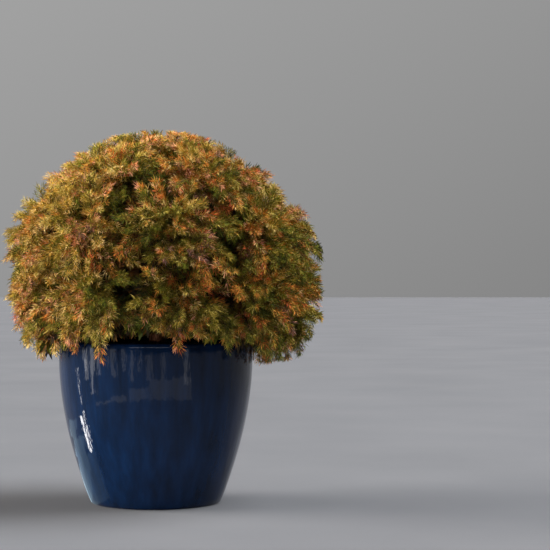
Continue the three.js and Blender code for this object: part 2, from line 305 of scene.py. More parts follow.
glaze = glaze_material()
compost = compost_material()
bark = bark_material()
bark_chip = new_material("bark_chip", "#54382a", roughness=0.9, specular=0.2)[0]
twig_bark = new_material("twig_bark", "#5a3a26", roughness=0.8, specular=0.25)[0]
shoot_bark = new_material("shoot_bark", "#6d6130", roughness=0.7, specular=0.3)[0]

# Colours of needles, from the oldest inside the crown, made darker there also as painted shade, to the
# winter tints at the tips
TINTS = {
    "old_shaded_needles": "#2e2414",
    "deep_green": "#434917",
    "moss": "#6c7020",
    "olive": "#92802a",
    "hay": "#c3ae59",
    "gold": "#c49a3e",
    "straw": "#d9b978",
    "orange": "#cc7d34",
    "rust": "#bf5931",
    "coral": "#dd9b76",
    "bronze": "#7b5224",
    "mauve": "#8a6258",
}
TINT_NAMES = list(TINTS)
tint_materials = [new_material("needles_" + name, colour, roughness=0.55, specular=0.28)[0]
                  for name, colour in TINTS.items()]


# Shaping with operators

def active_mesh(name):
    """The object that an operator has just made, named."""
    piece = bpy.context.object
    piece.name = name
    piece.data.name = name
    return piece


def turned_piece(name, profile, sides):
    """A round closed piece drawn up ring by ring: a circle, extruded and resized along the profile."""
    radius, height = profile[0]
    bpy.ops.mesh.primitive_circle_add(vertices=sides, radius=radius, location=(0, 0, 0))
    piece = active_mesh(name)
    bpy.ops.object.mode_set(mode="EDIT")
    bpy.ops.mesh.select_all(action="SELECT")
    bpy.ops.transform.translate(value=(0, 0, height))
    bpy.ops.mesh.edge_face_add()
    bpy.ops.mesh.duplicate()
    bpy.ops.mesh.delete(type="ONLY_FACE")
    bpy.ops.mesh.select_mode(type="EDGE")
    bpy.ops.mesh.select_all(action="DESELECT")
    bpy.ops.mesh.select_non_manifold()
    bpy.ops.mesh.remove_doubles(threshold=1e-6)
    for next_radius, next_height in profile[1:]:
        bpy.ops.mesh.extrude_region_move(
            TRANSFORM_OT_translate={"value": (0, 0, next_height - height)})
        scale = next_radius / radius
        bpy.ops.transform.resize(value=(scale, scale, 1), center_override=(0, 0, next_height))
        radius = next_radius
        height = next_height
    bpy.ops.mesh.edge_face_add()
    bpy.ops.mesh.select_all(action="SELECT")
    bpy.ops.mesh.normals_make_consistent(inside=False)
    bpy.ops.object.mode_set(mode="OBJECT")
    return piece


def finished(piece, nodes, materials):
    """Gives a piece its materials, hangs it on the root body and hides the parts that it stands for."""
    for material in materials:
        piece.data.materials.append(material)
    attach(piece, "root")
    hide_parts(*nodes)
    piece.select_set(False)
    return piece


def joined_piece(name, points, triangles, tints=None):
    """One mesh from arrays: points, triangles and the number of each triangle's material."""
    mesh = bpy.data.meshes.new(name)
    mesh.vertices.add(len(points))
    mesh.vertices.foreach_set("co", points.astype(np.float32).ravel())
    mesh.loops.add(triangles.size)
    mesh.loops.foreach_set("vertex_index", triangles.astype(np.int32).ravel())
    mesh.polygons.add(len(triangles))
    mesh.polygons.foreach_set("loop_start", np.arange(0, triangles.size, 3, dtype=np.int32))
    if tints is not None:
        mesh.polygons.foreach_set("material_index", tints.astype(np.int32))
    mesh.update(calc_edges=True)
    piece = bpy.data.objects.new(name, mesh)
    bpy.context.scene.collection.objects.link(piece)
    return piece


# Pot

def pot_radius(height):
    rise = np.sin(np.pi / 2 * np.clip(height, 0, POT_HEIGHT) / POT_BELLY_HEIGHT)
    return POT_FOOT_RADIUS + (POT_BELLY_RADIUS - POT_FOOT_RADIUS) * rise ** POT_FULLNESS


def inner_wall(gap, top, steps):
    heights = np.linspace(POT_FLOOR + gap, top, steps)
    return [(pot_radius(height) - POT_WALL - gap, height) for height in heights]


def make_pot():
    lip_radius = POT_WALL / 2
    lip_height = POT_HEIGHT - lip_radius
    lip_middle = pot_radius(lip_height) - lip_radius
    profile = inner_wall(0, lip_height, POT_INNER_RINGS)
    for angle in np.linspace(math.pi, 0, POT_LIP_RINGS)[1:]:
        profile.append((lip_middle + lip_radius * math.cos(angle),
                        lip_height + lip_radius * math.sin(angle)))
    for height in np.linspace(lip_height, POT_FOOT_BEVEL, POT_OUTER_RINGS)[1:]:
        profile.append((pot_radius(height), height))
    profile.append((POT_FOOT_RADIUS - POT_FOOT_BEVEL / 2, POT_FOOT_BEVEL / 5))
    profile.append((POT_FOOT_RADIUS - POT_FOOT_BEVEL, 0))
    piece = turned_piece("glazed_pot_wall", profile, POT_SIDES)
    bpy.ops.object.shade_smooth_by_angle(angle=POT_SHARP_EDGE)
    finished(piece, ["pot"], [glaze])


# Soil

def make_soil():
    edge = SOIL_TOP - SOIL_FALL
    profile = inner_wall(GAP, edge, SOIL_WALL_RINGS)
    rim = profile[-1][0]
    for share in np.linspace(1, SOIL_MIDDLE, SOIL_RINGS)[1:]:
        profile.append((rim * share, edge + SOIL_FALL * min(1, SOIL_DOME * (1 - share))))
    piece = turned_piece("compost", profile, SOIL_SIDES)
    for vertex in piece.data.vertices:
        place = vertex.co
        inward = min(1, (rim - math.hypot(place.x, place.y)) / SOIL_CALM_RIM)
        if place.z > edge - 1e-4 and inward > 0:
            lump = noise.fractal(place * SOIL_LUMP_SCALE, *SOIL_LUMP_LAYERS) - SOIL_LUMP_DROP
            place.z += SOIL_LUMP * lump * inward
    bpy.ops.object.shade_smooth()
    finished(piece, ["soil"], [compost])
    make_chips(rim)


def make_chips(rim):
    """Bits of bark and fallen needles that lie on the soil round the trunk."""
    count = CHIP_COUNT
    far = np.sqrt(chance.uniform(*CHIP_REACH, count)) * rim
    turn = chance.uniform(0, 2 * np.pi, count)
    height = SOIL_TOP - SOIL_FALL * np.clip(1 - SOIL_DOME * (1 - far / rim), 0, 1) + CHIP_LEVEL
    middle = np.stack([far * np.cos(turn), far * np.sin(turn), height], axis=-1)
    slim = chance.random(count) < CHIP_SLIM
    sizes = [np.where(slim, needle, chance.uniform(*chip, count)) for needle, chip in CHIP_SIZES]
    long_way = unit(chance.normal(size=(count, 3)) * [1, 1, CHIP_TILT])
    wide_way = unit(np.cross(UP + chance.normal(size=(count, 3)) * CHIP_ROLL, long_way))
    thick_way = np.cross(long_way, wide_way)
    corners = np.array([[x, y, z] for z in (-1, 1) for y in (-1, 1) for x in (-1, 1)], float)
    corners = corners[None] * chance.uniform(*CHIP_CORNERS, (count, 8, 1))
    corners = corners * np.stack(sizes, axis=-1)[:, None] / 2
    points = (middle[:, None] + corners[..., :1] * long_way[:, None]
              + corners[..., 1:2] * wide_way[:, None] + corners[..., 2:] * thick_way[:, None])
    box_faces = np.array([
        [0, 2, 1], [1, 2, 3], [4, 5, 6], [5, 7, 6], [0, 1, 4], [1, 5, 4],
        [2, 6, 3], [3, 6, 7], [0, 4, 2], [2, 4, 6], [1, 3, 5], [3, 7, 5],
    ])
    triangles = box_faces[None] + 8 * np.arange(count)[:, None, None]
    piece = joined_piece("bark_chips", points.reshape(-1, 3), triangles.reshape(-1, 3),
                         np.repeat(slim, len(box_faces)))
    finished(piece, ["soil"], [bark_chip, twig_bark])


# Crown rule

def crown_share(points):
    """How far out points lie in the crown: 0 at its centre, 1 on its outline."""
    offset = points - CROWN_CENTRE
    across = np.hypot(offset[..., 0] / CROWN_HALF_WIDTH, offset[..., 1] / CROWN_HALF_DEPTH)
    up = offset[..., 2]
    dome = np.hypot(across, up / CROWN_RISE)
    hem = (across ** HEM_SQUARENESS + (up / CROWN_DROP) ** HEM_SQUARENESS) ** (1 / HEM_SQUARENESS)
    return np.where(up >= 0, dome, hem)


def crown_point(outward, share):
    """The point at a share of the way from the crown's centre to its outline."""
    edge = crown_share(CROWN_CENTRE + outward)
    return CROWN_CENTRE + outward * (share / edge)[..., None]


def direction(polar, azimuth):
    return np.stack([np.sin(polar) * np.cos(azimuth), np.sin(polar) * np.sin(azimuth),
                     np.cos(polar) * np.ones_like(azimuth)], axis=-1)


def masses_of(name, count, polar, azimuth, starts):
    masses = []
    for i in range(count):
        outward = direction(math.radians(polar), np.array(math.radians(azimuth + 360 * i / count)))
        masses.append({
            "name": f"{name}_{i + 1}" if count > 1 else name,
            "outward": outward,
            "fork": crown_point(outward, FORK_SHARE),
            "middle": crown_point(outward, MIDDLE_SHARE),
            "start": starts[i % len(starts)],
        })
    return masses


MASSES = [mass for ring in RINGS for mass in masses_of(*ring)]
OUTWARDS = np.array([mass["outward"] for mass in MASSES])
for index, mass in enumerate(MASSES):
    mass["index"] = index
    mass["walls"] = unit(np.delete(OUTWARDS, index, axis=0) - mass["outward"])


def clear_of_pot(points):
    outside = np.hypot(points[..., 0], points[..., 1]) > pot_radius(points[..., 2]) + POT_CLEARANCE
    return (points[..., 2] > POT_HEIGHT + POT_CLEARANCE) | outside


def in_space(mass, points, margin):
    """Whether points lie in a mass's own cone by at least the margin, and clear of the pot."""
    offset = points - CROWN_CENTRE
    return np.all(offset @ mass["walls"].T < -margin, axis=-1) & clear_of_pot(points)


def side_of(mass, turn):
    """A direction square to a mass's middle line, turned about it."""
    return turned_about(square_to(mass["outward"]), mass["outward"], np.array(turn))


def space_point(mass, side, angle, share):
    outward = mass["outward"] * math.cos(angle) + side * math.sin(angle)
    return crown_point(outward, np.array(share))


def space_angle(mass, side):
    """The widest angle to one side at which the outline still lies in the mass's space."""
    low = 0
    high = SPACE_SPREAD
    while high - low > SPACE_STEP:
        angle = (low + high) / 2
        if in_space(mass, space_point(mass, side, angle, 1), SPACE_MARGIN):
            low = angle
        else:
            high = angle
    return low


def seeded_draw(seed):
    """Draws the same numbers from 0 to 1 as the rule of the solids does."""
    state = seed

    def draw():
        nonlocal state
        state = (state * DRAW_FACTOR + DRAW_STEP) % DRAW_RANGE
        return state / DRAW_RANGE

    return draw


def drooped(way):
    return unit(way - UP * SPRAY_DROOP)


def tips_of(mass, draw):
    tips = [crown_point(mass["outward"], np.array(1.0))]
    start = draw()
    for i in range(RING_TWIGS):
        turn = 2 * math.pi * (i + start) / RING_TWIGS + RING_STRAY * (draw() - 0.5)
        side = side_of(mass, turn)
        angle = RING_SHARE * space_angle(mass, side)
        tips.append(space_point(mass, side, angle, between(RING_REACH, draw())))
    return tips


def spray_fits(mass, root, way, flat, length):
    """Whether a spray's toothed outline stays in the mass's space."""
    across = unit(np.cross(way, flat))
    outline = [(0, 0), (0, 1)] + TEETH + [(-side, forward) for side, forward in TEETH]
    points = np.array([root + across * side * length + way * forward * length
                       for side, forward in outline])
    return np.all(in_space(mass, points, SPRAY_MARGIN)) and np.all(crown_share(points) > FORK_SHARE)


def fitted_length(mass, root, way, flat, length):
    for i in range(SPRAY_TRIES):
        shorter = length * SPRAY_SHRINK ** i
        if spray_fits(mass, root, way, flat, shorter):
            return shorter
    return None


def twigs_of(mass, draw):
    """The mass's twigs, each with the sprays that stand at its tip and at its side."""
    twigs = []
    for i, tip in enumerate(tips_of(mass, draw)):
        length = between(SPRAY_LENGTH, draw())
        outward = drooped(unit(tip - mass["middle"]))
        end = tip + outward * (TWIG_SINK - length)
        way = end - mass["middle"]
        level = math.hypot(way[0], way[1]) / np.linalg.norm(way)
        bend = mass["middle"] + way * TWIG_BOW_PLACE + UP * TWIG_BOW * level
        flat = unit(np.cross(np.cross(outward, UP), outward))
        flat = turned_about(flat, outward, np.array((draw() - 0.5) * SPRAY_ROLL))
        along, turn = SIDE_SPRAYS[i % len(SIDE_SPRAYS)]
        aside = drooped(turned_about(outward, flat, np.array(turn)))
        sprays = [
            (tip - outward * length, outward, flat, length),
            (bezier(mass["middle"], bend, end, along), aside, flat, length * SIDE_SPRAY_SHARE),
        ]
        fitted = []
        for root, way, flat, wanted in sprays:
            fits = fitted_length(mass, root, way, flat, wanted)
            if fits:
                fitted.append((root, way, flat, fits))
        twigs.append({"path": (mass["middle"], bend, end), "sprays": fitted})
    return twigs


draw = seeded_draw(SEED)
for mass in MASSES:
    mass["twigs"] = twigs_of(mass, draw)


# Trunk and boughs

def trunk_along(heights):
    return np.clip((heights - SOIL_TOP) / (TRUNK_TOP - SOIL_TOP), 0, 1)


def trunk_middle(heights):
    """Points on the trunk's middle line, a cubic through the points of its path."""
    knots = np.linspace(0, 1, len(TRUNK_PATH))
    along = trunk_along(heights)
    across, back = [np.polyval(np.polyfit(knots, line, 3), along) for line in zip(*TRUNK_PATH)]
    return np.stack([across, back, heights], axis=-1)


def trunk_radius(heights):
    along = trunk_along(heights)
    near_root = np.clip(1 - along / ROOT_FLARE_SHARE, 0, 1) ** 2
    return between((TRUNK_RADIUS, TRUNK_TIP_RADIUS), along) + ROOT_FLARE * near_root


def bough_path(mass, steps):
    begin = trunk_middle(mass["start"])
    bend = mass["fork"] - mass["outward"] * BOUGH_BEND * np.linalg.norm(mass["fork"] - begin)
    if mass["start"] >= TRUNK_TOP:
        bend = (begin + mass["fork"]) / 2
    shares = np.linspace(0, 1, steps)
    path = [bezier(begin, bend, mass["fork"], share) for share in shares]
    radii = [between((BOUGH_RADIUS, BOUGH_TIP_RADIUS), share) for share in shares]
    return path + [mass["middle"]], radii + [TWIG_RADIUS]


def add_limb(curve, path, radii):
    spline = curve.splines.new("POLY")
    spline.points.add(len(path) - 1)
    for point, place, radius in zip(spline.points, path, radii):
        point.co = (*place, 1)
        point.radius = radius


def make_limbs():
    """Trunk and boughs as tapering tubes, fused into one skin that then takes the bark's relief."""
    curve = bpy.data.curves.new("trunk_and_boughs", "CURVE")
    curve.dimensions = "3D"
    curve.bevel_depth = 1.0
    curve.bevel_resolution = 4
    curve.use_fill_caps = True
    heights = np.linspace(SOIL_TOP, TRUNK_TOP, TRUNK_STEPS)
    add_limb(curve, trunk_middle(heights), trunk_radius(heights))
    for mass in MASSES:
        add_limb(curve, *bough_path(mass, BOUGH_STEPS))
    piece = bpy.data.objects.new("trunk_and_boughs", curve)
    bpy.context.scene.collection.objects.link(piece)
    piece.select_set(True)
    bpy.context.view_layer.objects.active = piece
    bpy.ops.object.convert(target="MESH")
    piece = bpy.context.object
    remesh = piece.modifiers.new("fuse", "REMESH")
    remesh.mode = "VOXEL"
    remesh.voxel_size = LIMB_VOXEL
    bpy.ops.object.modifier_apply(modifier="fuse")
    smooth = piece.modifiers.new("settle", "SMOOTH")
    smooth.iterations = LIMB_SMOOTHING
    bpy.ops.object.modifier_apply(modifier="settle")
    carve_bark(piece)
    bpy.ops.object.shade_smooth()
    finished(piece, ["trunk"] + [f"bough_{mass['name']}" for mass in MASSES], [bark])


def carve_bark(piece):
    """Root lobes at the foot and upright strips of bark, as moves of the skin along its normals."""
    mesh = piece.data
    places = np.zeros(len(mesh.vertices) * 3)
    normals = np.zeros(len(mesh.vertices) * 3)
    mesh.vertices.foreach_get("co", places)
    mesh.vertices.foreach_get("normal", normals)
    places = places.reshape(-1, 3)
    normals = normals.reshape(-1, 3)
    offset = places - trunk_middle(places[:, 2])
    radius = trunk_radius(places[:, 2])
    far = np.hypot(offset[:, 0], offset[:, 1])
    on_trunk = (far < TRUNK_NEAR * radius) & (places[:, 2] < TRUNK_TOP)
    strips = np.array([noise.fractal(Vector(place), *BARK_LAYERS) for place in places * BARK_STRETCH])
    moves = np.where(on_trunk, TRUNK_RELIEF, BOUGH_RELIEF) * strips
    near_root = np.clip(1 - trunk_along(places[:, 2]) / (2 * ROOT_FLARE_SHARE), 0, 1) ** 2
    lobes = np.cos(ROOT_LOBES * np.arctan2(offset[:, 1], offset[:, 0]))
    moves += np.where(on_trunk, ROOT_LOBE_DEPTH * near_root * lobes * radius, 0)
    places += normals * moves[:, None]
    places[:, 2] = np.maximum(places[:, 2], SOIL_TOP)
    mesh.vertices.foreach_set("co", places.ravel())
    mesh.update()


# Tubes for twigs and shoots

TUBE_SIDES = 3
TWIG_RINGS = 6
BRANCHLET_RADII = (0.0019, 0.0007)  # at its start and near its tip
SHOOT_RADII = (0.0010, 0.0004)


def tubes(paths, radii):
    """Closed three-sided tubes that end in a point, along paths and between a first and a last radius.

    The paths are tubes by rings by coordinates."""
    count, rings = paths.shape[:2]
    ways = unit(np.gradient(paths, axis=1))
    first = square_to(ways)[:, :, None]
    second = np.cross(ways, first[:, :, 0])[:, :, None]
    turns = np.arange(TUBE_SIDES)[:, None] * 2 * np.pi / TUBE_SIDES
    round_way = first * np.cos(turns) + second * np.sin(turns)
    points = paths[:, :, None] + round_way * between(radii, np.linspace(0, 1, rings))[:, None, None]
    points = np.concatenate([points[:, :-1].reshape(count, -1, 3), paths[:, -1:]], axis=1)
    point = (rings - 1) * TUBE_SIDES
    faces = [[0, 2, 1]]
    for low in range(point):
        side = low % TUBE_SIDES
        low_next = low - side + (side + 1) % TUBE_SIDES
        if low + TUBE_SIDES >= point:
            faces.append([low, low_next, point])
        else:
            faces.append([low, low_next, low_next + TUBE_SIDES])
            faces.append([low, low_next + TUBE_SIDES, low + TUBE_SIDES])
    triangles = np.array(faces)[None] + (point + 1) * np.arange(count)[:, None, None]
    return points.reshape(-1, 3), triangles.reshape(-1, 3)


def curved_tubes(curves, radii):
    """Tubes along curves, which are given as their starts, bends and tips."""
    start, bend, end = (np.array(places)[:, None] for places in curves)
    return tubes(bezier(start, bend, end, np.linspace(0, 1, TWIG_RINGS)[:, None]), radii)


def joined_tubes(name, parts, material):
    """Several sets of tubes as one piece, which stands for the twigs of all masses."""
    points = []
    triangles = []
    count = 0
    for part_points, part_triangles in parts:
        points.append(part_points)
        triangles.append(part_triangles + count)
        count += len(part_points)
    piece = joined_piece(name, np.concatenate(points), np.concatenate(triangles))
    finished(piece, [f"foliage_{mass['name']}" for mass in MASSES], [material])


# Branchlets

WIDEST = math.radians(127)  # angle from straight up to the lowest tips
FULLNESS = 0.945  # share of the way to the crown's outline that the sprays reach on average
LONGER = 0.05  # by how much of the way the longest sprays stand out of the rest
REACH_POWER = 1.4  # above 1, so that more tips end short than far out

# Broad and small lumps of the crown: how far apart they lie, how high they are, their waves and seed
LUMPS = [(0.30, 0.014, 10, 11), (0.12, 0.014, 24, 12)]

# How long waves are, as shares of the length asked for, and what brings their sum to -1 to 1 or so
WAVE_LENGTHS = (0.7, 1.5)
WAVE_SUM = 1.6

# Where the crown is less full: azimuth, angle from straight up, how much less, and how wide
DENT_SHAPE = 1.5  # above 1, so that a dent is flat in its middle
DENTS = [
    (-5, 46, 0.062, 35),
    (190, 124, 0.13, 50),
    (185, 70, 0.056, 42),
    (-75, 60, 0.02, 22),
    (140, 40, 0.03, 30),
    (60, 95, 0.03, 30),
]

HEM_LEVEL = 0.374  # height of the tips round the crown's hem at its left and right
HEM_RISE = 0.056  # how much higher the hem is in front
HEM_LIFT = 0.022  # and how much higher still over the middle of the pot's front, where the lip shows
HEM_LIFT_AZIMUTH = math.radians(-93)
HEM_LIFT_POWER = 24
HEM_WAVE = 0.008
HEM_WAVE_LENGTH = 0.13
HEM_TURN = 0.314  # distance from the pot's axis from which the hem rises to the crown's edge
HEM_TURN_RIGHT = 0.038  # how much further out that is on the right, and less far on the left
HEM_SLOPE = 1.2
HEM_LOOSE = 0.02  # how far above the hem a tip is lifted at most

HANGING_PLACE = (0.1, 0.9)  # where in its own share of the round each hanging spray lies
HANGING_FROM = (0.27, 0.375)  # distance of the hanging sprays from the crown's middle line
HANGING_FALL = (0.014, 0.044)  # how far they reach below the hem
HANGING_RIGHT = 0.8  # how much further they reach on the right
HANGING_FRONT = 0.9  # and how much less far in front
HANGING_LOWEST = 0.338
HANGING_SHARE = 1.035  # of the way to the crown's outline, which only the hanging sprays pass
HANGING_RISE = 0.6  # share of its length over which such a spray comes straight down

# Tips of single sprays that hang over the lip and beside the pot, seen from the left to the right
HANGING_TIPS = np.array([
    (-0.283, -0.05, 0.365),
    (-0.179, -0.22, 0.385),
    (-0.115, -0.27, 0.373),
    (0.070, -0.29, 0.393),
    (0.187, -0.27, 0.394),
    (0.260, -0.05, 0.345),
    (0.312, -0.04, 0.352),
    (0.355, -0.02, 0.375),
])

UNDER_REACH = 0.29  # distance from the pot's axis to the outermost sprays over the soil
UNDER_NEAREST = 0.06  # the share of their area that stays free round the trunk
UNDER_HEIGHT = (-0.01, 0.04)  # above the hem

BORDER_STRAY = 0.05  # how freely sprays of neighbouring masses mix where the two meet
DROOP = 0.8  # how much a branchlet prefers to come from above, and what a turn away from that costs
DROOP_COST = 0.1
INNER_STEP = 0.1  # by how much of the way to the outline a branchlet starts further in than it ends
BEND_PLACE = 0.52  # where a branchlet bends, and how far out and up of its straight line
BEND_OUT = 0.13
BEND_UP = 0.17
FACE_OUT = 0.6  # the flat side of a spray faces outward and up, with a stray in radians
FACE_UP = 0.8
FACE_STRAY = 0.55
TWIG_FROM = 0.15  # share of a twig from which branchlets grow
TWIG_STEPS = 8


def waves_over(points, length, count, seed):
    """A smooth random field, from -1 to 1 or so, whose waves are about as long as given."""
    rng = np.random.default_rng(seed)
    ways = unit(rng.normal(size=(count, 3)))
    ways = ways * (2 * np.pi / (length * rng.uniform(*WAVE_LENGTHS, (count, 1))))
    phases = rng.uniform(0, 2 * np.pi, count)
    return np.sum(np.sin(points @ ways.T + phases), axis=-1) / math.sqrt(count / 2) / WAVE_SUM


def fullness(outward):
    """The share of the way to the outline that the sprays reach in each direction."""
    level = FULLNESS
    for length, height, count, seed in LUMPS:
        level = level + height * waves_over(outward * CROWN_HALF_WIDTH, length, count, seed)
    for azimuth, polar, depth, width in DENTS:
        middle = direction(math.radians(polar), np.array(math.radians(azimuth)))
        angle = np.degrees(np.arccos(np.clip(outward @ middle, -1, 1)))
        level -= depth * np.clip(DENT_SHAPE - DENT_SHAPE * angle / width, 0, 1)
    return level


def hem_floor(points):
    """The height down to which the crown's sprays reach."""
    azimuth = np.arctan2(points[..., 1], points[..., 0])
    far = np.hypot(points[..., 0], points[..., 1])
    front = np.clip(-np.sin(azimuth), 0, 1)
    lip = np.clip(np.cos(azimuth - HEM_LIFT_AZIMUTH), 0, 1) ** HEM_LIFT_POWER
    under = HEM_RISE * front ** 2 * (3 - 2 * front) + HEM_LIFT * lip
    beside = HEM_SLOPE * (far - HEM_TURN - HEM_TURN_RIGHT * np.cos(azimuth))
    waves = HEM_WAVE * waves_over(points * [1, 1, 0], HEM_WAVE_LENGTH, count=8, seed=31)
    return HEM_LEVEL + np.maximum(under, beside) + waves


def spiral(count, widest):
    """Directions spread evenly from straight up to the widest angle from it."""
    steps = np.arange(count) + 0.5
    polar = np.arccos(1 - (1 - math.cos(widest)) * steps / count)
    return direction(polar, GOLDEN_TURN * np.arange(count))


def pulled_in(tips, most):
    """The tips, with those past the most of the way to the crown's outline drawn in to it."""
    return CROWN_CENTRE + (tips - CROWN_CENTRE) * np.minimum(1, most / crown_share(tips))[:, None]


def rooted(tips, roots, shortest):
    """Branchlets to the tips, as starts, tips and the numbers of their masses.

    Each starts near its tip, on one of its mass's places for roots, and rather above the tip."""
    outward = unit(tips - CROWN_CENTRE)
    near = outward @ OUTWARDS.T
    owner = np.argmax(near + chance.normal(size=near.shape) * BORDER_STRAY, axis=1)
    wanted = unit(outward - UP * DROOP * np.hypot(outward[:, :1], outward[:, 1:2]))
    starts = np.zeros_like(tips)
    for i, tip in enumerate(tips):
        places = roots[owner[i]]
        way = tip - places
        far = np.linalg.norm(way, axis=1)
        turn = 1 - way @ wanted[i] / far
        inner = crown_share(places) < crown_share(tip) - INNER_STEP
        cost = far + DROOP_COST * turn + np.where(inner & (far > shortest), 0, 1)
        starts[i] = places[np.argmin(cost)]
    return starts, tips, owner


def grown_branchlets(roots, count, reach, stray, shortest):
    """Branchlets that grow from the twigs of their mass to tips spread evenly over the crown."""
    outward = unit(spiral(count, WIDEST) + chance.normal(size=(count, 3)) * stray)
    far = between(reach, chance.random(count) ** REACH_POWER)
    tips = crown_point(outward, fullness(outward) * far)
    tips[:, 2] = np.maximum(tips[:, 2], hem_floor(tips) + chance.uniform(0, HEM_LOOSE, count))
    return rooted(tips, roots, shortest)


def spread_out(tips, taken, spacing):
    """The numbers of the tips, picked at random, that lie a spacing apart and clear of those taken."""
    places = np.concatenate([taken, np.zeros_like(tips)])
    count = len(taken)
    kept = []
    for number in chance.permutation(len(tips)):
        if np.min(np.linalg.norm(places[:count] - tips[number], axis=1)) > spacing:
            places[count] = tips[number]
            count += 1
            kept.append(number)
    return np.array(kept)


def hanging_branchlets(count):
    """Single sprays that hang out of the hem all round."""
    azimuth = 2 * np.pi * (np.arange(count) + chance.uniform(*HANGING_PLACE, count)) / count
    tips = CROWN_CENTRE + direction(np.pi / 2, azimuth) * chance.uniform(*HANGING_FROM, (count, 1))
    further = HANGING_RIGHT * np.clip(np.cos(azimuth), 0, 1) ** 4
    further -= HANGING_FRONT * np.clip(-np.sin(azimuth), 0, 1) ** 2
    fall = chance.uniform(*HANGING_FALL, count) * (1 + further)
    tips[:, 2] = np.maximum(hem_floor(tips) - fall, HANGING_LOWEST)
    tips = np.concatenate([pulled_in(tips, HANGING_SHARE), HANGING_TIPS])
    return rooted(tips, TWIG_PLACES, shortest=0.08)


def under_branchlets(count):
    """Old sprays over the soil, in dark tints that paint the shade under the crown, so that no light
    shows between the crown and the pot's lip.
    """
    azimuth = chance.uniform(0, 2 * np.pi, count)
    far = UNDER_REACH * np.sqrt(chance.uniform(UNDER_NEAREST, 1, count))
    tips = np.stack([far * np.cos(azimuth), far * np.sin(azimuth), np.zeros(count)], axis=-1)
    tips[:, 2] = hem_floor(tips) + chance.uniform(*UNDER_HEIGHT, count)
    return rooted(tips, STEM_PLACES, shortest=0.03)


def twig_places(mass):
    """Places along a mass's twigs from which branchlets grow."""
    places = [mass["middle"]]
    for twig in mass["twigs"]:
        places += [bezier(*twig["path"], share) for share in np.linspace(TWIG_FROM, 1, TWIG_STEPS)]
    return np.array(places)


TWIG_PLACES = [twig_places(mass) for mass in MASSES]
STEM_PLACES = [np.array([between((mass["fork"], mass["middle"]), share) for share in (0, 0.5, 1)])
               for mass in MASSES]


def source_sprays():
    """The sprays of the solids, as starts, tips and the numbers of their masses."""
    sprays = [(root, root + way * length, mass["index"])
              for mass in MASSES for twig in mass["twigs"] for root, way, flat, length in twig["sprays"]]
    starts, tips, owner = (np.array(column) for column in zip(*sprays))
    tips = pulled_in(tips, fullness(unit(tips - CROWN_CENTRE)) + LONGER)
    tips[:, 2] = np.maximum(tips[:, 2], hem_floor(tips))
    return starts, tips, owner


def bent(starts, tips):
    """The bend of each branchlet between its start and its tip: out first, then over and down."""
    way = tips - starts
    length = np.linalg.norm(way, axis=1, keepdims=True)
    level = np.hypot(way[:, :1], way[:, 1:2]) / length
    outward = unit(starts - CROWN_CENTRE)
    return starts + way * BEND_PLACE + outward * BEND_OUT * length + UP * BEND_UP * level * length


def hung(starts, tips):
    """The bend of each hanging branchlet, which comes down straight at its end."""
    bends = tips.copy()
    rise = HANGING_RISE * np.linalg.norm(tips - starts, axis=1)
    bends[:, 2] = np.maximum(starts[:, 2], tips[:, 2] + rise)
    return bends


def flat_sides(starts, tips):
    """The direction that each spray's flat side faces: out and up from the crown, give or take."""
    way = unit(tips - starts)
    outward = unit(tips - CROWN_CENTRE) * FACE_OUT + UP * FACE_UP
    face = unit(outward - way * along_axis(outward, way))
    return turned_about(face, way, chance.normal(size=len(way)) * FACE_STRAY)


# Shoots and needles

SHOOTS_FROM = 0.08  # shares of a branchlet between which its shoots stand
SHOOTS_TO = 0.97
SHOOT_PLACE = (0.2, 0.8)  # where in its own stretch each shoot stands
SHOOT_LEAN = (1.0, 0.55)  # radians off the branchlet, for its first and its last shoot
SHOOT_LEAN_STRAY = 0.12
SHOOT_TAPER = (1, 0.5)  # shares of the longest shoot, for the first and the last
SHOOT_LENGTHS = (0.78, 1.18)
SHOOT_TURN = 0.55  # how much a shoot's end turns to the branchlet's own way, and how much it droops
SHOOT_FALL = 0.25
OWN_TIP = 0.034  # length of the shoot that ends a branchlet
OWN_FALL = 0.1
SHOOT_RINGS = 2
SHORTENED = (0.75, 0.6)  # steps by which a shoot that leaves the crown is cut back
EDGE_MARGIN = 0.005
HEM_MARGIN = 0.008

NEEDLES_FROM = 0.05  # share of a shoot at which its needles start
NEEDLE_LEAN = (1.05, 0.65)  # radians off the shoot, at its foot and at its tip
NEEDLE_LEAN_POWER = 1.6
NEEDLE_LEAN_STRAY = 0.16
NEEDLE_CURL = 0.3
NEEDLE_ROLL = 1.2
NEEDLE_TAPER = (0.85, 1.1)  # shares of the style's needle, at the shoot's foot and at its tip
NEEDLE_LENGTHS = (0.8, 1.15)
NEEDLE_WIDEST = 0.45  # share of a needle at which it is widest


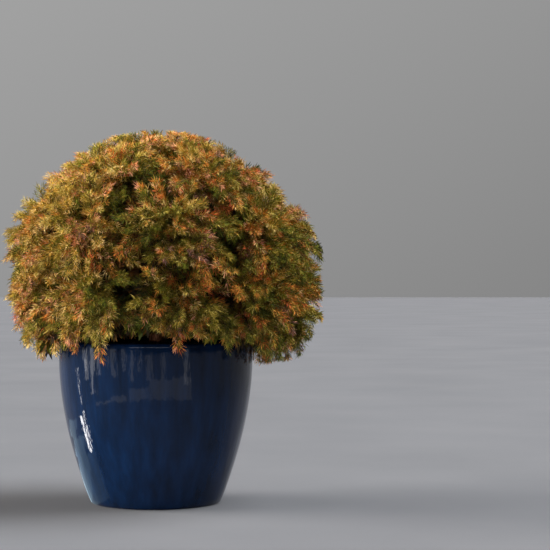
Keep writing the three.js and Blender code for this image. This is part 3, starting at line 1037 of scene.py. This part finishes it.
def shoots_on(starts, bends, tips, style):
    """Side shoots along the outer part of each branchlet, by turns to its two sides, and its own end.

    Gives roots, first and last directions and lengths, each one row for a branchlet."""
    faces = flat_sides(starts, tips)[:, None]
    shape = (len(starts), style["shoots"])
    length = np.linalg.norm(tips - starts, axis=1)
    first = np.clip(1 - style["shoot_reach"] / length, SHOOTS_FROM, 1)[:, None]
    number = np.arange(style["shoots"])
    place = (number + chance.uniform(*SHOOT_PLACE, shape)) / style["shoots"]
    share = (first + (SHOOTS_TO - first) * place)[..., None]
    roots = bezier(starts[:, None], bends[:, None], tips[:, None], share)
    ways = unit((bends - starts)[:, None] * (1 - share) + (tips - bends)[:, None] * share)
    face = unit(faces - ways * along_axis(faces, ways))
    turn = ((number % 2) * np.pi + chance.normal(size=shape) * style["stray"])[..., None]
    side = np.cross(ways, face) * np.cos(turn) + face * np.sin(turn)
    lean = (between(SHOOT_LEAN, place) + chance.normal(size=shape) * SHOOT_LEAN_STRAY)[..., None]
    begin = unit(ways * np.cos(lean) + side * np.sin(lean))
    lengths = style["longest"] * between(SHOOT_TAPER, place) * chance.uniform(*SHOOT_LENGTHS, shape)
    end = unit(begin + ways * SHOOT_TURN - UP * SHOOT_FALL)
    own_root = bezier(starts, bends, tips, np.clip(1 - OWN_TIP / length, 0.5, 1)[:, None])
    own_way = unit(tips - own_root)
    own_end = unit(own_way - UP * OWN_FALL)
    own_length = np.linalg.norm(tips - own_root, axis=1)
    both = zip((roots, begin, end, lengths), (own_root, own_way, own_end, own_length))
    return [np.concatenate([aside, own[:, None]], axis=1) for aside, own in both]


def shoot_place(shoots, share):
    """A point on each shoot, which bends from its first direction to its last."""
    roots, begin, end, lengths = shoots
    half = (0.5 * lengths)[..., None]
    bend = roots + begin * half
    return bezier(roots, bend, bend + end * half, share)


def needles_on(shoots, style):
    """Needles all round the shoots: 4 points each, the root, the two sides and the tip.

    The rows are shoots, and the next axis is the needles from the shoot's foot to its tip."""
    count = style["needles"]
    shape = (len(shoots[0]), count)
    share = np.broadcast_to(between((NEEDLES_FROM, 1), (np.arange(count) + 0.5) / count), shape)
    along = share[..., None]
    spread = [part[:, None] for part in shoots]
    place = shoot_place(spread, along)
    ways = unit(spread[1] * (1 - along) + spread[2] * along)
    first = square_to(ways)
    turn = (GOLDEN_TURN * np.arange(count) + chance.uniform(0, 2 * np.pi, (shape[0], 1)))[..., None]
    outward = first * np.cos(turn) + np.cross(ways, first) * np.sin(turn)
    lean = between(NEEDLE_LEAN, share ** NEEDLE_LEAN_POWER)
    lean = (lean + chance.normal(size=shape) * NEEDLE_LEAN_STRAY)[..., None]
    foot_way = ways * np.cos(lean) + outward * np.sin(lean)
    tip_way = ways * np.cos(lean - NEEDLE_CURL) + outward * np.sin(lean - NEEDLE_CURL)
    long = style["size"] * between(NEEDLE_TAPER, share) * chance.uniform(*NEEDLE_LENGTHS, shape)
    roll = chance.uniform(-NEEDLE_ROLL, NEEDLE_ROLL, shape)
    side = turned_about(np.cross(ways, outward), foot_way, roll) * style["width"] / 2
    middle = place + foot_way * NEEDLE_WIDEST * long[..., None]
    tip = middle + tip_way * (1 - NEEDLE_WIDEST) * long[..., None]
    return np.stack([place, middle - side, middle + side, tip], axis=2), share


# Where tints show: base chances on the right and on the left, which differ partly in the plant's own
# colour and partly as painted light, paler on the lit left and darker on the shaded right
TIP_RIGHT = {"olive": 0.22, "moss": 0.20, "deep_green": 0.14, "gold": 0.06, "orange": 0.16,
             "rust": 0.05, "coral": 0.04, "bronze": 0.10, "mauve": 0.03}
TIP_LEFT = {"straw": 0.23, "gold": 0.14, "hay": 0.19, "olive": 0.11, "coral": 0.16, "orange": 0.11,
            "moss": 0.05, "rust": 0.01}
FOOT_RIGHT = {"deep_green": 0.34, "moss": 0.32, "olive": 0.20, "bronze": 0.14}
FOOT_LEFT = {"moss": 0.30, "olive": 0.33, "hay": 0.06, "gold": 0.11, "bronze": 0.20}
# Tints of the inner and the deepest foliage: old needles, made darker still as painted shade in the
# crown's depths and between its sprays
INSIDE = {"deep_green": 0.40, "moss": 0.10, "bronze": 0.16, "old_shaded_needles": 0.34}
OLD_AND_SHADED = {"old_shaded_needles": 0.60, "deep_green": 0.28, "bronze": 0.12}

# The tint that some of a shoot's needles take in place of its own
NEXT_TINT = {"old_shaded_needles": "bronze", "deep_green": "moss", "moss": "olive", "olive": "hay",
             "hay": "straw", "gold": "straw", "straw": "gold", "orange": "gold", "rust": "orange",
             "coral": "straw", "bronze": "olive", "mauve": "coral"}
NEXT_TINT_NUMBERS = np.array([TINT_NAMES.index(NEXT_TINT[name]) for name in TINT_NAMES])
NEXT_TINT_CHANCE = 0.27
TIP_FROM = 0.45  # share of a shoot at which the tints of its tip start, with a stray
TIP_STRAY = 0.1
TINT_PATCH = 0.10  # how far apart patches of one tint lie
PATCH_WEIGHT = 0.5  # how much a tint depends on the patch, on the spray and on the shoot
SPRAY_WEIGHT = 0.62
SHOOT_WEIGHT = 0.2

# How pale the tints are, partly the plant's own colour and partly painted light and shade: in the
# crown's middle, to its left and right edge, and at its top, paler on the lit left and top and darker on
# the shaded right
BRIGHT_MIDDLE = 0.06
BRIGHT_LEFT = 1.05
BRIGHT_RIGHT = 0.06
BRIGHT_TOP = 0.42
BRIGHT_TOP_RIGHT = 0.4
BRIGHT_TOP_RANGE = (0.1, 0.7)
BRIGHT_WAVE = 0.12
BRIGHT_WAVE_LENGTH = 0.16


def chances(table):
    row = np.array([table.get(name, 0.0) for name in TINT_NAMES])
    return row / row.sum()


def picked(right, left, brightness, rolls):
    """The number of a tint for each roll, by chances that go from the right's to the left's."""
    row = chances(right) * (1 - brightness[..., None]) + chances(left) * brightness[..., None]
    return np.sum(rolls[..., None] > np.cumsum(row, axis=-1), axis=-1).clip(0, len(TINT_NAMES) - 1)


# Painted light: a level from 0 to 1 that makes the tints paler to the lit left and the top and darker to
# the shaded right, with random waves
def tint_and_painted_light_at(points):
    across = (points[..., 0] - CROWN_CENTRE[0]) / CROWN_HALF_WIDTH
    height = (points[..., 2] - CROWN_CENTRE[2]) / CROWN_RISE
    level = BRIGHT_MIDDLE - np.where(across < 0, BRIGHT_LEFT, BRIGHT_RIGHT) * across
    level += height * np.clip(BRIGHT_TOP + BRIGHT_TOP_RIGHT * across, *BRIGHT_TOP_RANGE)
    waves = waves_over(points, BRIGHT_WAVE_LENGTH, count=8, seed=5)
    return np.clip(level + BRIGHT_WAVE * waves, 0, 1)


def shared_rolls(points, sprays):
    """Numbers spread evenly from 0 to 1 that are alike in a patch and more so in a spray."""
    mixed = PATCH_WEIGHT * waves_over(points, TINT_PATCH, count=16, seed=21)
    mixed = mixed + SPRAY_WEIGHT * chance.normal(size=sprays.max() + 1)[sprays]
    mixed += SHOOT_WEIGHT * chance.normal(size=len(points))
    return np.argsort(np.argsort(mixed)) / len(mixed)


def tints_of(shoot_tips, sprays, share, style):
    """The number of each needle's tint, dealt out by patch, spray and shoot, and paler towards the
    crown's lit left and top as painted light.
    """
    rolls = shared_rolls(shoot_tips, sprays)
    if style["shaded"]:
        tip_tint = picked(style["shaded"], style["shaded"], np.zeros(len(rolls)), rolls)
        foot_tint = tip_tint
    else:
        bright = tint_and_painted_light_at(shoot_tips)
        tip_tint = picked(TIP_RIGHT, TIP_LEFT, bright, rolls)
        foot_tint = picked(FOOT_RIGHT, FOOT_LEFT, bright, chance.random(len(rolls)))
    is_tip = share + chance.normal(size=share.shape) * TIP_STRAY > TIP_FROM
    tints = np.where(is_tip, tip_tint[:, None], foot_tint[:, None])
    return np.where(chance.random(tints.shape) < NEXT_TINT_CHANCE, NEXT_TINT_NUMBERS[tints], tints)


def dressed(branchlets, bend, style):
    """Shoots and needles for branchlets, skipping what would leave the crown or touch the pot."""
    starts, tips, owner = branchlets
    bends = bend(starts, tips)
    shoots = shoots_on(starts, bends, tips, style)
    sprays = np.indices(shoots[3].shape)[0].ravel()
    shoots = [part.reshape(-1, *part.shape[2:]) for part in shoots]
    for shorter in SHORTENED:
        outside = crown_share(shoot_place(shoots, 1.0)) > style["limit"]
        shoots[3] = np.where(outside, shoots[3] * shorter, shoots[3])
    shoot_tips = shoot_place(shoots, 1.0)
    keep = crown_share(shoot_tips) < style["edge"] - EDGE_MARGIN
    keep &= clear_of_pot(shoot_tips) & clear_of_pot(shoots[0])
    keep &= shoot_tips[:, 2] > np.minimum(hem_floor(shoot_tips), tips[sprays, 2]) - HEM_MARGIN
    leafy = keep.reshape(len(starts), -1)[:, -1]
    shoots = [part[keep] for part in shoots]
    sprays = sprays[keep]
    blades, share = needles_on(shoots, style)
    tints = tints_of(shoot_tips[keep], sprays, share, style)
    inside = np.all((crown_share(blades) < style["edge"]) & clear_of_pot(blades), axis=2)
    stems = shoot_place([part[:, None] for part in shoots], np.linspace(0, 1, SHOOT_RINGS)[:, None])
    return {"blades": blades, "tints": tints, "inside": inside, "owner": owner[sprays], "stems": stems,
            "branchlets": (starts[leafy], bends[leafy], tips[leafy])}


OUTER_TRIES = 3200
OUTER_SPACING = 0.0345
HANGING_COUNT = 64
UNDER_COUNT = 150
INNER_COUNT = 560
DEEP_COUNT = 240

OUTER_STYLE = {"shoots": 18, "shoot_reach": 0.095, "longest": 0.035, "stray": 0.5, "needles": 17,
               "size": 0.0150, "width": 0.0018, "limit": 0.985, "edge": 1.0, "shaded": None}
HANGING_STYLE = {**OUTER_STYLE, "limit": 1.04, "edge": 1.06}
INNER_STYLE = {"shoots": 8, "shoot_reach": 0.10, "longest": 0.050, "stray": 1.0, "needles": 14,
               "size": 0.016, "width": 0.0033, "limit": 0.94, "edge": 1.0, "shaded": INSIDE}
# Big blades in dark tints deep inside the crown: painted shade that fills its depths
DEEP_STYLE = {"shoots": 8, "shoot_reach": 0.12, "longest": 0.060, "stray": 1.2, "needles": 10,
              "size": 0.028, "width": 0.011, "limit": 0.8, "edge": 1.0, "shaded": OLD_AND_SHADED}

NEEDLE_PIECES = 6
NEEDLE_FACES = np.array([[0, 2, 1], [1, 2, 3]])


def make_foliage():
    given = source_sprays()
    more = grown_branchlets(TWIG_PLACES, OUTER_TRIES, reach=(0.90, 1.055), stray=0.03, shortest=0.06)
    kept = spread_out(more[1], given[1], OUTER_SPACING)
    outer = [np.concatenate([old, new[kept]]) for old, new in zip(given, more)]
    hanging = hanging_branchlets(HANGING_COUNT)
    under = under_branchlets(UNDER_COUNT)
    inner = grown_branchlets(TWIG_PLACES, INNER_COUNT, reach=(0.76, 0.90), stray=0.05, shortest=0.03)
    deep = grown_branchlets(STEM_PLACES, DEEP_COUNT, reach=(0.45, 0.70), stray=0.05, shortest=0.03)
    groups = [
        dressed(outer, bent, OUTER_STYLE),
        dressed(hanging, hung, HANGING_STYLE),
        dressed(under, bent, DEEP_STYLE),
        dressed(inner, bent, INNER_STYLE),
        dressed(deep, bent, DEEP_STYLE),
    ]
    make_needles(groups)
    twig_curves = zip(*(twig["path"] for mass in MASSES for twig in mass["twigs"]))
    twigs = [curved_tubes(twig_curves, (TWIG_RADIUS, TWIG_TIP_RADIUS))]
    twigs += [curved_tubes(group["branchlets"], BRANCHLET_RADII) for group in groups]
    joined_tubes("twigs", twigs, twig_bark)
    stems = [tubes(group["stems"], SHOOT_RADII) for group in groups]
    joined_tubes("shoot_stems", stems, shoot_bark)


def make_needles(groups):
    """The needles of neighbouring masses, joined into pieces."""
    for number in range(NEEDLE_PIECES):
        first, last = (round(step * len(MASSES) / NEEDLE_PIECES) for step in (number, number + 1))
        blades = []
        tints = []
        for group in groups:
            mine = (group["owner"] >= first) & (group["owner"] < last)
            keep = group["inside"][mine]
            blades.append(group["blades"][mine][keep])
            tints.append(group["tints"][mine][keep])
        blades = np.concatenate(blades)
        triangles = NEEDLE_FACES[None] + 4 * np.arange(len(blades))[:, None, None]
        piece = joined_piece(f"needles_{number + 1}", blades.reshape(-1, 3), triangles.reshape(-1, 3),
                             np.repeat(np.concatenate(tints), len(NEEDLE_FACES)))
        nodes = [f"foliage_{mass['name']}" for mass in MASSES[first:last]]
        finished(piece, nodes, tint_materials)


# Stage, lights and camera

def make_stage():
    bpy.ops.mesh.primitive_plane_add(size=60, location=(0, 0, 0))
    floor = active_mesh("stage_floor")
    material, shader = new_material("pale_floor", "#5a5c60", roughness=0.9, specular=0.0)
    mottling = stretched_noise(material, stretch=(1.5, 1.5, 1.5), detail=4)
    colour_from(material, shader, mottling, [(0.3, "#595b5f"), (0.7, "#5e6064")])
    floor.data.materials.append(material)


def add_light(name, kind, place, target, power, colour, **settings):
    """A lamp that no gloss shows, or a panel, of the kind AREA, that nothing but gloss shows."""
    data = bpy.data.lights.new(name, kind)
    data.energy = power
    data.color = colour
    for key, value in settings.items():
        setattr(data, key, value)
    light = bpy.data.objects.new(name, data)
    light.location = place
    light.rotation_euler = (Vector(target) - Vector(place)).to_track_quat("-Z", "Y").to_euler()
    light.visible_camera = False
    light.visible_glossy = kind == "AREA"
    light.visible_diffuse = kind != "AREA"
    bpy.context.scene.collection.objects.link(light)


def add_panel(name, place, target, width, height, radiance, colour):
    power = radiance * math.pi * width * height
    add_light(name, "AREA", place, target, power, colour, shape="RECTANGLE", size=width, size_y=height)


# Soft distant lamps: place, softness in degrees, strength and colour
SUNS = {
    "key": ((-3.4, 0.35, 1.15), 50, 15.0, (1.0, 0.915, 0.84)),
    "above": ((1.9, 0.35, 3.0), 50, 7.4, (1.0, 0.98, 0.97)),
}

# A lamp whose soft-edged cone lights the pot from the front left
FILL_PLACE = (-0.9, -2.2, 0.22)
FILL_TARGET = (0, 0, 0.15)
FILL_POWER = 400
FILL_COLOUR = (0.96, 0.98, 1.0)
FILL_CONE = math.radians(12.5)
FILL_BLEND = 0.5
FILL_RADIUS = 0.25

BRIGHTEST_SKY = (-0.42, 0.38, 0.83)
DARKEST_SKY = -0.5  # how far a direction agrees with the brightest at the ramp's start

# The sky's grey over its ramp, from its darkest part to its brightest
SKY = [(0.0, 0.04), (0.33, 0.115), (0.55, 0.25), (1.0, 0.58)]

# Lit strips that only the glaze's gloss shows: x and y, lowest and highest point, width and radiance
STRIP_COLOUR = (1.0, 0.99, 0.98)
STRIPS = {
    "low": (-0.45, -0.065, 0.005, 0.145, 0.026, 24),
    "low_beside": (-0.46, -0.105, 0.035, 0.155, 0.013, 20),
    "left_thin": (-0.485, -0.093, 0.175, 0.315, 0.008, 15),
    "left_hook": (-0.48, -0.195, 0.30, 0.35, 0.006, 11),
    "left_pale_behind": (-0.645, -0.205, 0.24, 0.42, 0.06, 3.2),
    "left_pale": (-0.63, -0.31, 0.16, 0.42, 0.06, 4.6),
    "left_pale_before": (-0.60, -0.405, 0.25, 0.42, 0.04, 3.0),
    "front_left_far": (-0.74, -0.66, 0.26, 0.44, 0.03, 1.3),
    "front_left": (-0.66, -0.78, 0.20, 0.44, 0.06, 1.3),
    "front_left_near": (-0.52, -0.88, 0.24, 0.44, 0.02, 1.8),
    "front_wide": (-0.38, -0.96, 0.16, 0.44, 0.09, 1.1),
    "front_thin": (-0.24, -1.01, 0.22, 0.44, 0.015, 1.8),
    "front": (-0.07, -1.03, 0.16, 0.36, 0.07, 0.7),
    "sheen_far_left": (-0.86, -0.56, 0.002, 0.025, 0.34, 0.9),
    "sheen_left": (-0.62, -0.82, 0.002, 0.050, 0.36, 0.75),
    "sheen_front_left": (-0.27, -1.00, 0.002, 0.095, 0.36, 0.6),
    "sheen_front": (0.12, -1.03, 0.002, 0.160, 0.40, 0.5),
    "sheen_front_right": (0.52, -0.90, 0.002, 0.185, 0.40, 0.45),
    "front_right_wide": (0.20, -1.02, 0.16, 0.38, 0.05, 0.7),
    "front_right": (0.607, -0.834, 0.13, 0.44, 0.035, 1.8),
    "front_above": (0.0, -1.6, 0.56, 0.66, 1.6, 3.6),
    "left_above": (-1.4, -0.6, 0.60, 0.63, 2.0, 1.0),
    "right_above": (1.4, -0.6, 0.58, 0.64, 2.0, 2.0),
}

# Lit patches of the floor that only the gloss shows: x and y, width, depth and radiance
GLOW_COLOUR = (0.55, 0.82, 1.0)
GLOW_HEIGHT = 0.002
FLOOR_GLOW = {
    "left_before": (-0.32, -0.083, 0.36, 0.105, 0.375),
    "left_near": (-0.295, 0.16, 0.31, 0.38, 0.7125),
    "left_middle": (-0.55, 0.265, 0.20, 0.47, 0.75),
    "left_far": (-0.775, 0.525, 0.25, 0.55, 0.6),
}


def make_sky():
    """A plain grey sky that brightens towards one direction."""
    world = bpy.data.worlds.new("studio")
    world.use_nodes = True
    nodes = world.node_tree.nodes
    links = world.node_tree.links
    place = nodes.new("ShaderNodeTexCoord")
    towards = nodes.new("ShaderNodeVectorMath")
    towards.operation = "DOT_PRODUCT"
    towards.inputs[1].default_value = BRIGHTEST_SKY
    spread = nodes.new("ShaderNodeMapRange")
    spread.inputs["From Min"].default_value = DARKEST_SKY
    ramp = nodes.new("ShaderNodeValToRGB")
    fill_ramp(ramp, [(step, (grey, grey, grey, 1)) for step, grey in SKY])
    links.new(place.outputs["Generated"], towards.inputs[0])
    links.new(towards.outputs["Value"], spread.inputs["Value"])
    links.new(spread.outputs["Result"], ramp.inputs["Fac"])
    links.new(ramp.outputs["Color"], nodes["Background"].inputs["Color"])
    bpy.context.scene.world = world


def make_lights():
    for name, (place, softness, strength, colour) in SUNS.items():
        add_light(name, "SUN", place, CROWN_CENTRE, strength, colour, angle=math.radians(softness))
    add_light("fill", "SPOT", FILL_PLACE, FILL_TARGET, FILL_POWER, FILL_COLOUR,
              spot_size=FILL_CONE, spot_blend=FILL_BLEND, shadow_soft_size=FILL_RADIUS)
    for name, (across, back, width, depth, radiance) in FLOOR_GLOW.items():
        place = (across, back, GLOW_HEIGHT)
        add_panel(name + "_glow", place, (across, back, 1), width, depth, radiance, GLOW_COLOUR)
    for name, (across, back, low, high, width, radiance) in STRIPS.items():
        place = (across, back, (low + high) / 2)
        add_panel(name + "_strip", place, (0, 0, place[2]), width, high - low, radiance, STRIP_COLOUR)
    bpy.context.scene.view_settings.view_transform = "Standard"


def make_camera():
    data = bpy.data.cameras.new("camera")
    middle = PHOTO_WIDTH / 2
    data.sensor_width = SENSOR_WIDTH
    data.lens = SENSOR_WIDTH * CAMERA_DISTANCE / (METRES_PER_PIXEL * PHOTO_WIDTH)
    camera = bpy.data.objects.new("camera", data)
    across = (middle - POT_AXIS_PIXEL) * METRES_PER_PIXEL
    height = (GROUND_PIXEL - HORIZON_PIXEL) * METRES_PER_PIXEL
    pitch = math.atan((middle - HORIZON_PIXEL) * METRES_PER_PIXEL / CAMERA_DISTANCE)
    camera.location = (across, -CAMERA_DISTANCE, height)
    camera.rotation_euler = (math.pi / 2 - pitch, 0, 0)
    bpy.context.scene.collection.objects.link(camera)
    bpy.context.scene.camera = camera


make_camera()
make_pot()
make_soil()
make_limbs()
make_foliage()
make_stage()
make_sky()
make_lights()

bpy.context.view_layer.update()
